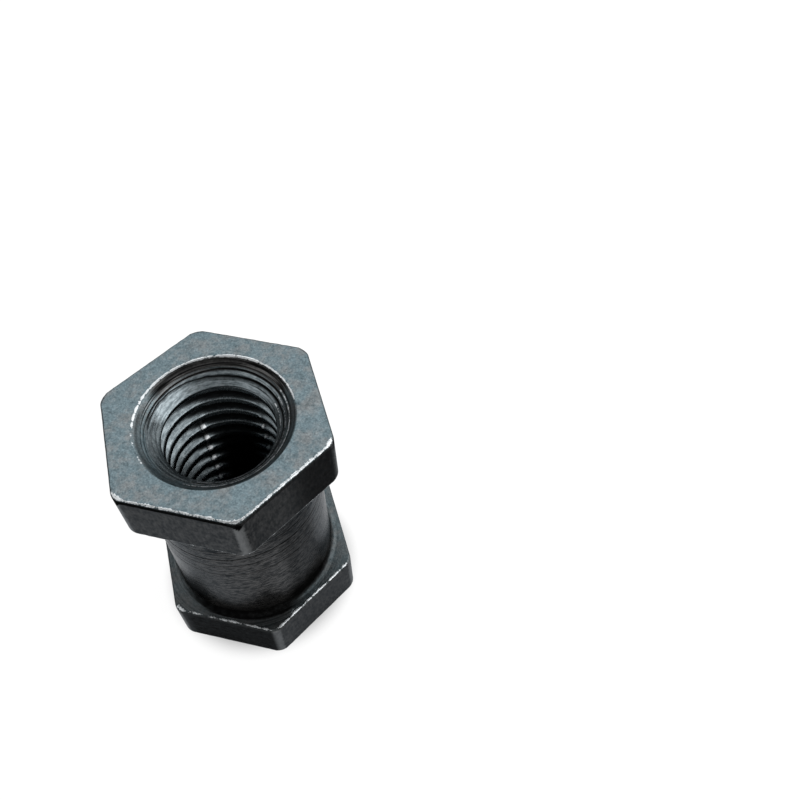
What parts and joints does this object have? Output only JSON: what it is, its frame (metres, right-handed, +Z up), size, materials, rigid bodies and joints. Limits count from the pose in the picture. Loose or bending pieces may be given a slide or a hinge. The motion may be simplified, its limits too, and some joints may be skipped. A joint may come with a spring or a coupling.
{
  "type": "hex insert nut",
  "caption": "Through-threaded steel sleeve nut turned from hexagon bar, with a hexagon head at each end, a round waist between them and countersunk mouths.",
  "frame": {"origin": "centre of the lower face, on the thread's axis", "axes": "+Z up the thread's axis, X across the hexagon's corners, Y across its flats"},
  "size_m": [0.0204, 0.018, 0.0275],
  "materials": {
    "steel": "dark oiled steel, machined faces lighter than the bar flats"
  },
  "bodies": {
    "root": {"hex_insert_nut": "steel"}
  },
  "joints": []
}
